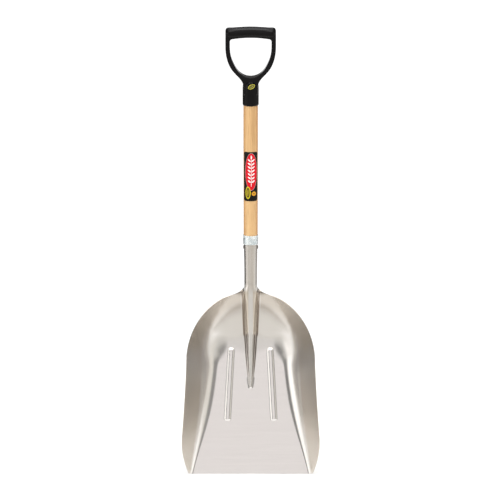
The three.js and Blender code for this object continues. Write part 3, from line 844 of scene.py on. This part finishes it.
def places_across(v):
    """Places for one row's right half, with the columns gathered along the frog, rib and fold."""
    held = min(v, RIB_V[1])
    frog = float(frog_half(held))
    span = float(rim_half(held)) - frog
    rib = float(rib_axis(held)[0])
    crease = float(fold_half(held))
    soft = float(fold_softness(min(held, SHOULDER_V))) / WALL_SLOPE
    lines = [rib - RIB_HALF, rib + RIB_HALF, crease - soft, crease + soft]
    shares = [0.0, *[min(1.0, max(0.0, (u - frog) / span)) for u in lines], 1.0]
    out = [np.linspace(0, 1, FROG_COLUMNS + 1)]
    for steps, low, high in zip(SIDE_COLUMNS, shares, shares[1:]):
        out.append(1 + np.linspace(low, high, steps + 1)[1:])
    return np.concatenate(out)


def blade_rows():
    rows = [0.0]
    for low, high, steps in ROW_SPANS:
        rows.extend(np.linspace(low * MM, high * MM, steps + 1)[1:])
    return np.array(rows)


def blade(look):
    """The sheet: its front by formula, and its back one thickness behind, along the front's normals."""
    rows = blade_rows()
    right = np.array([places_across(v) for v in rows])
    places = np.concatenate([-right[:, :0:-1], right], axis=1)
    vs = np.repeat(rows[:, None], places.shape[1], axis=1)
    front = sheet_point(places, vs)
    step = 0.05 * MM
    along = sheet_point(places, vs + step) - sheet_point(places, vs - step)
    nudge = 0.002
    across = sheet_point(np.minimum(places + nudge, 2), vs) - sheet_point(np.maximum(places - nudge, -2), vs)
    normal = np.cross(across, along)
    normal /= np.maximum(1e-12, np.linalg.norm(normal, axis=-1, keepdims=True))
    back = front - normal * SHEET
    verts = np.concatenate([front.reshape(-1, 3), back.reshape(-1, 3)])
    return piece("blade_sheet", verts.tolist(), sheet_faces(*places.shape), look,
                 ["blade"], sharp=50)


# ---------------------------------------------------------------- handle and its fittings

def handle(look):
    shoulder = COLLAR_LOW.z + WOOD_SHOULDER_RISE
    foot = WOOD_RADIUS - WOOD_FOOT_LESS
    inner = float(socket_radius(shoulder)) - SHEET - SEAT_GAP
    low = SOCKET_RADIUS - SHEET - SEAT_GAP
    tip, top = HANDLE_LOW.z, HANDLE_HIGH.z
    profile = [(NEAR_AXIS, tip), *[(radius, tip + rise) for radius, rise in WOOD_TIP],
               (low, WOOD_TIP_Z), (low, SOCKET_TAPER_Z[0]), (inner, shoulder), (foot, shoulder),
               (WOOD_RADIUS, WOOD_FULL_Z), (WOOD_RADIUS, top), (NEAR_AXIS, top)]
    verts, faces = revolved(rounded(profile, WOOD_ROUNDING), 96)
    return piece("wooden_handle", verts, faces, look, ["handle"])


def collar(look):
    low, high, outer = COLLAR_LOW.z, COLLAR_HIGH.z, COLLAR_HIGH.x
    bore = outer - COLLAR_WALL
    crimp_z = high - CRIMP_DROP
    margin = 0.5 * MM
    outside = [(outer, z) for z in np.linspace(low + margin, high - margin, 40)]
    edge = (mm(0.35, 0), mm(0.1, 0.15))
    profile = [(bore, low), *[(outer - r, low + z) for r, z in edge], *outside,
               *[(outer - r, high - z) for r, z in reversed(edge)], (bore, high)]

    def dent(angle, r, z):
        """Depth of the crimps, which press in the collar's outer face only."""
        if r < outer - 0.05 * MM:
            return 0.0
        pitch = 2 * math.pi / CRIMPS
        off = (angle % pitch - pitch / 2) * outer
        near = 1 - (off * off + (z - crimp_z) ** 2) / CRIMP_RADIUS ** 2
        return CRIMP_DEPTH * max(0.0, near) ** 1.5

    verts, faces = revolved(profile, 288, dent)
    return piece("steel_collar", verts, faces, look, ["collar"])


def rivet(look):
    middle = (RIVET_LOW.z + RIVET_HIGH.z) / 2
    head, top = (RIVET_HIGH.z - RIVET_LOW.z) / 2, RIVET_HIGH.x
    seat = float(socket_radius(middle)) + RIVET_GAP
    skirt = seat + RIVET_SKIRT
    dome = [(head * math.cos(t), skirt + (top - skirt) * math.sin(t))
            for t in np.linspace(0, math.pi / 2 - 0.02, 12)]
    half = [(RIVET_SHANK, 0.0), (RIVET_SHANK, seat), (head - 0.2 * MM, seat), *dome]
    profile = [(r, -z) for r, z in reversed(half)] + half[1:]
    verts, faces = revolved(profile, 48)
    turned = [(z, y, middle + x) for x, y, z in verts]
    return piece("side_rivet", turned, faces, look, ["socket_rivet"])


def screw(look):
    middle = (SCREW_LOW.z + SCREW_HIGH.z) / 2
    head = (SCREW_HIGH.z - SCREW_LOW.z) / 2
    back, tip = SCREW_HIGH.y, SCREW_LOW.y
    profile = [(NEAR_AXIS, tip), (SCREW_SHANK, tip + 5 * MM), (SCREW_SHANK, back - 2 * MM),
               (head, back - 0.3 * MM), (head - 0.25 * MM, back), (NEAR_AXIS, back)]
    verts, faces = revolved(profile, 48)
    turned = [(x, z, middle - y) for x, y, z in verts]
    made = piece("grip_screw_head", turned, faces, look, ["grip_screw"])
    for wide, tall in (CROSS_SLOT, CROSS_SLOT[::-1]):
        cut(made, box_mesh("slot", (wide, CROSS_DEPTH, tall), (0, back, middle)))
    return made


def film(name, radius, thickness, outline, look, nodes, steps):
    """A thin sheet on a cylinder. outline(t) gives z and the two arc limits at share t of its height."""
    columns = 40
    verts = []
    for layer in (radius + thickness, radius):
        for i in range(steps + 1):
            z, left, right = outline(i / steps)
            for j in range(columns + 1):
                angle = (left + (right - left) * j / columns) / radius
                verts.append((layer * math.sin(angle), -layer * math.cos(angle), z))
    return piece(name, verts, sheet_faces(steps + 1, columns + 1), look, nodes)


def label(look):
    low, high = LABEL_LOW.z, LABEL_HIGH.z
    half = LABEL_MIDDLE_RADIUS * math.asin(LABEL_HIGH.x / LABEL_OUTER_RADIUS)

    def outline(t):
        z = low + (high - low) * (0.5 - 0.5 * math.cos(math.pi * t))
        off = max(0.0, LABEL_CORNER - min(z - low, high - z)) / LABEL_CORNER
        edge = half - LABEL_CORNER * (1 - math.sqrt(max(0.0, 1 - off * off)))
        return z, -edge, edge

    return film("label_sheet", WOOD_RADIUS + LABEL_GAP, LABEL_SHEET, outline, look,
                ["label"], 120)


def badge(look):
    """A tilted oval: at each height the arc limits are the two roots of the ellipse's equation."""
    middle = (BADGE_LOW.z + BADGE_HIGH.z) / 2
    centre = (BADGE_LOW.x + BADGE_HIGH.x) / 2
    a, b = BADGE_RADII
    c, s = math.cos(BADGE_TILT), math.sin(BADGE_TILT)
    tall = math.sqrt((a * s) ** 2 + (b * c) ** 2)

    def outline(t):
        dz = -tall * 0.999 * math.cos(math.pi * t)
        k2 = (c / a) ** 2 + (s / b) ** 2
        k1 = 2 * dz * c * s * (1 / a ** 2 - 1 / b ** 2)
        k0 = (dz * s / a) ** 2 + (dz * c / b) ** 2 - 1
        root = math.sqrt(max(0.0, k1 * k1 - 4 * k2 * k0))
        return middle + dz, centre + (-k1 - root) / (2 * k2), centre + (-k1 + root) / (2 * k2)

    return film("oval_badge", CUP_RADIUS + BADGE_GAP, BADGE_SHEET, outline, look,
                ["grip_badge"], 40)


# ---------------------------------------------------------------- grip

def bezier(points, steps):
    """Points in metres along a cubic curve, from its control points in mm."""
    p0, p1, p2, p3 = (np.array(p) for p in points)
    t = np.linspace(0, 1, steps + 1)[:, None]
    return (p0 * (1 - t) ** 3 + p1 * 3 * t * (1 - t) ** 2 + p2 * 3 * t ** 2 * (1 - t) + p3 * t ** 3) * MM


def both_sides(right):
    """A closed outline from its right half, drawn from the middle round."""
    right = [p for i, p in enumerate(right) if i == 0 or np.linalg.norm(p - right[i - 1]) > 1e-6]
    left = [np.array([-p[0], p[1]]) for p in reversed(right) if p[0] > 1e-6]
    return right + left


def grip_outline():
    half = GRIP_HIGH.x / MM
    return both_sides([
        *bezier([(17.7, -150), (18.5, -142), (19, -134), (19.7, -126)], 4),
        *bezier([(19.7, -126), (23, -106), (44, -98), (55, -77)], 16),
        *bezier([(55, -77), (63, -62), (half, -44), (half, -22)], 12),
        *bezier([(half, -22), (half, 0), (half, 10), (half, 19)], 4),
        *bezier([(half, 19), (half, 26), (half - 4, 28), (half - 9, 28)], 6),
        *bezier([(half - 9, 28), (40, 28), (20, 28), (0, 28)], 4),
    ])


def grip_eye():
    wide = GRIP_HIGH.x / MM - 12
    return both_sides([
        *bezier([(0, -104), (22, -104), (35, -89), (43, -72)], 16),
        *bezier([(43, -72), (52, -54), (wide, -42), (wide, -20)], 12),
        *bezier([(wide, -20), (wide, -16), (wide, -12), (wide, -9)], 3),
        *bezier([(wide, -9), (wide, -4), (wide - 3, -2.5), (wide - 7, -2)], 6),
        *bezier([(wide - 7, -2), (35, 0), (18, 2), (0, 2)], 4),
    ])


def half_depth(z):
    """How far the grip reaches front and back: thin arms that thicken into the cup."""
    thicker = PLATE_CUP_MORE * ease(z, *PLATE_CUP_Z)
    return float(PLATE_HALF + thicker - PLATE_BAR_LESS * ease(z, *PLATE_BAR_Z))


def plate():
    """The D of the grip as a flat solid whose depth follows its height."""
    made = bmesh.new()
    rings = []
    for outline in (grip_outline(), grip_eye()):
        rings.append([made.verts.new((x, 0, z)) for x, z in outline])
        for i, vert in enumerate(rings[-1]):
            made.edges.new((rings[-1][i - 1], vert))
    bmesh.ops.triangle_fill(made, edges=made.edges, use_beauty=True)
    front = list(made.verts)
    faces = list(made.faces)
    back = {v: made.verts.new((v.co.x, half_depth(v.co.z), v.co.z)) for v in front}
    for face in faces:
        made.faces.new([back[v] for v in reversed(face.verts)])
    for ring in rings:
        for i, vert in enumerate(ring):
            last = ring[i - 1]
            made.faces.new((last, vert, back[vert], back[last]))
    for vert in front:
        vert.co.y = -half_depth(vert.co.z)
    bmesh.ops.recalc_face_normals(made, faces=made.faces)
    return tool("grip_plate", made)


def bar():
    """The hand bar: a round bar, bowed up a little in the middle."""
    end = GRIP_HIGH.x - 2.5 * MM
    half = [(BAR_RADIUS, 0), (15 * MM, 45 * MM), (14 * MM, end - 5 * MM), (10 * MM, end),
            (NEAR_AXIS, end + 1 * MM)]
    profile = [(r, -z) for r, z in reversed(half[1:])] + half
    verts, faces = revolved(rounded(profile, 12 * MM, 6), 64)
    drop = BAR_DROP / BAR_DROP_X ** 2
    turned = [(z, y, BAR_RADIUS - x - drop * z * z) for x, y, z in verts]
    return solid_from("grip_bar", turned, faces)


def cup():
    """The cup round the top of the handle, drawn in at its upper end."""
    low = GRIP_LOW.z
    profile = [(NEAR_AXIS, low), (CUP_RADIUS, low), (CUP_RADIUS, -131 * MM), (20.5 * MM, -122 * MM),
               (14 * MM, -110 * MM), (NEAR_AXIS, -108 * MM)]
    verts, faces = revolved(rounded(profile, 4 * MM), 96)
    return solid_from("grip_cup", verts, faces)


def bore_tool():
    """The hole in the cup for the handle's end."""
    radius, low, high = WOOD_RADIUS + CUP_GAP, GRIP_LOW.z - 5 * MM, HANDLE_HIGH.z
    profile = [(NEAR_AXIS, low), (radius, low), (radius, high), (NEAR_AXIS, high)]
    return solid_from("bore", *revolved(profile, 96))


def seat_tool():
    """The screw's hole in the cup's back, with its sunk seat."""
    middle = (SCREW_LOW.z + SCREW_HIGH.z) / 2
    deep = SCREW_HIGH.y - SEAT_DEPTH
    profile = [(NEAR_AXIS, 0), (SEAT_HOLE, 0), (SEAT_RADIUS, 2.5 * MM), (SEAT_RADIUS, 6 * MM),
               (NEAR_AXIS, 6 * MM)]
    verts, faces = revolved(profile, 48)
    return solid_from("seat", [(x, deep + z, middle - y) for x, y, z in verts], faces)


def d_grip(look):
    """One moulding: the flat D, the bar and the cup joined under one smoothed skin, then bored."""
    parts = [plate(), bar(), cup()]
    whole = bmesh.new()
    for part in parts:
        whole.from_mesh(part.data)
        bpy.data.objects.remove(part)
    made = tool("d_grip_moulding", whole)
    remesh = made.modifiers.new("skin", "REMESH")
    remesh.mode = "VOXEL"
    remesh.voxel_size = 1.25 * MM
    soften = made.modifiers.new("soften", "SMOOTH")
    soften.factor = 0.5
    soften.iterations = 14
    settle(made)
    cut(made, bore_tool())
    cut(made, seat_tool())
    made.data.materials.clear()
    made.data.materials.append(look)
    finish_surface(made, 50)
    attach(made, ROOT)
    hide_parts("d_grip")
    return made


# ---------------------------------------------------------------- studio

CAMERA_RISE = math.radians(12)
CAMERA_DISTANCE = 24.0
SENSOR = 36.0
VIEW_WIDTH = 1.3254
AIM_UP = 2.1 * MM
AIM_ACROSS = -1.8 * MM
FLOOR_RADIUS = 1.6
FLOOR_SIDES = 128
FLOOR_AHEAD = 0.25
FLOOR_GAP = 0.2 * MM
PAPER = (0.90, 0.90, 0.90)
PAPER_AHEAD = (0.52, 0.50, 0.47)
PAPER_FADE_Y = (-0.42, -1.0)
SUN_STRENGTH = 0.7
SUN_SPREAD = math.radians(26)
SUN_TILT = math.radians(10)
# The world's colours, and where each takes over: by x, by height z, or by the turn from the front.
DUSK_LEFT = (0.17, 0.165, 0.16)
DUSK_RIGHT = (0.32, 0.31, 0.30)
DUSK_X = (-0.5, 0.8)
TOP_LIGHT = (2.4, 2.4, 2.4)
TOP_Z = (0.62, 0.92)
UNDER_BEHIND = (1.15, 1.15, 1.15)
UNDER_AHEAD = (0.75, 0.73, 0.69)
UNDER_Z = (0.035, 0.0)
AHEAD_TURN = (1.9, 1.2)
# Soft boxes: limits round from the front and up in degrees, edge softness, colour.
PANELS = (
    ((-160, -97), (-19, -6), 4, (0.05, 0.045, 0.04)),
    ((97, 160), (-19, -6), 4, (0.35, 0.33, 0.32)),
    ((-38, 38), (36, 62), 6, (4.2, 4.1, 4.0)),
    ((-12, 12), (-8, 14), 4, (0.88, 0.85, 0.83)),
    ((-13, 13), (12, 60), 5, (1.06, 1.01, 1.01)),
    ((-76, -43), (-8, 50), 4, (1.6, 1.56, 1.52)),
    ((47, 80), (-8, 50), 5, (0.96, 0.92, 0.85)),
)


def camera():
    data = bpy.data.cameras.new("camera")
    data.sensor_width = SENSOR
    data.lens = SENSOR * CAMERA_DISTANCE / VIEW_WIDTH
    data.clip_end = 200
    made = bpy.data.objects.new("camera", data)
    bpy.context.scene.collection.objects.link(made)
    back = Vector((0, -math.cos(CAMERA_RISE), math.sin(CAMERA_RISE)))
    up = Vector((0, math.sin(CAMERA_RISE), math.cos(CAMERA_RISE)))
    low = Vector((0, -AXIS_V * math.sin(LIFT), AXIS_Z - AXIS_V * math.cos(LIFT)))
    top = Vector((0, 0, GRIP_HIGH.z))
    middle = (low.dot(up) + top.dot(up)) / 2
    aim = up * (middle + AIM_UP) + Vector((AIM_ACROSS, 0, 0))
    made.location = aim + back * CAMERA_DISTANCE
    made.rotation_mode = "QUATERNION"
    made.rotation_quaternion = (-back).to_track_quat("-Z", "Y")
    bpy.context.scene.camera = made


def sky():
    """A plain studio as a world: dusky sides, a bright top, a pale floor's tone below, and soft boxes."""
    world = bpy.data.worlds.new("studio")
    world.use_nodes = True
    bpy.context.scene.world = world
    tree = world.node_tree
    tree.nodes.clear()
    way = node(tree, "TexCoord").outputs["Generated"]
    x, y, z = node(tree, "SeparateXYZ", {"Vector": way}).outputs
    turn = maths(tree, "ARCTAN2", x, maths(tree, "MULTIPLY", y, -1.0))
    paint = blend(tree, soft_step(tree, x, *DUSK_X), DUSK_LEFT, DUSK_RIGHT)
    paint = blend(tree, soft_step(tree, z, *TOP_Z), paint, TOP_LIGHT)
    ahead = soft_step(tree, maths(tree, "ABSOLUTE", turn), *AHEAD_TURN)
    under = blend(tree, ahead, UNDER_BEHIND, UNDER_AHEAD)
    paint = blend(tree, soft_step(tree, z, *UNDER_Z), paint, under)
    for turns, lifts, soft, colour in PANELS:
        soft = math.radians(soft)
        a0, a1 = (math.radians(t) for t in turns)
        z0, z1 = (math.sin(math.radians(t)) for t in lifts)
        wide = between(tree, turn, (a0 - soft, a0 + soft), (a1 + soft, a1 - soft))
        tall = between(tree, z, (z0 - soft, z0 + soft), (z1 + soft, z1 - soft))
        paint = blend(tree, maths(tree, "MULTIPLY", wide, tall), paint, colour)
    glow = node(tree, "Background", {"Color": paint, "Strength": 1.0})
    out = node(tree, "OutputWorld")
    tree.links.new(glow.outputs[0], out.inputs[0])


def overhead_sun():
    data = bpy.data.lights.new("overhead", "SUN")
    data.energy = SUN_STRENGTH
    data.angle = SUN_SPREAD
    made = bpy.data.objects.new("overhead", data)
    bpy.context.scene.collection.objects.link(made)
    made.rotation_euler = (SUN_TILT, 0, 0)


def studio_floor():
    data = bpy.data.meshes.new("floor")
    level = BLADE_LOW.z - FLOOR_GAP
    turns = np.linspace(0, 2 * math.pi, FLOOR_SIDES, endpoint=False)
    ring = [(FLOOR_RADIUS * math.cos(t), FLOOR_RADIUS * math.sin(t) - FLOOR_AHEAD, level) for t in turns]
    data.from_pydata(ring, [], [tuple(range(FLOOR_SIDES))])
    floor = bpy.data.objects.new("floor", data)
    bpy.context.scene.collection.objects.link(floor)
    look, tree, shader = material("studio_floor", Roughness=0.9)
    away = node(tree, "SeparateXYZ", {"Vector": node(tree, "TexCoord").outputs["Object"]}).outputs[1]
    front = soft_step(tree, away, *PAPER_FADE_Y)
    join(tree, blend(tree, front, PAPER, PAPER_AHEAD), shader, "Base Color")
    data.materials.append(look)


def studio():
    bpy.context.scene.view_settings.view_transform = "Standard"
    sky()
    overhead_sun()
    studio_floor()


camera()
studio()
blade(aluminium())
handle(wood())
collar(galvanised())
rivet(plain_steel("rivet_steel", (0.45, 0.43, 0.41), (0.24, 0.22, 0.2)))
d_grip(moulded_plastic())
screw(plain_steel("screw_steel", (0.62, 0.62, 0.6), (0.4, 0.4, 0.38)))
label(label_film())
badge(badge_film())
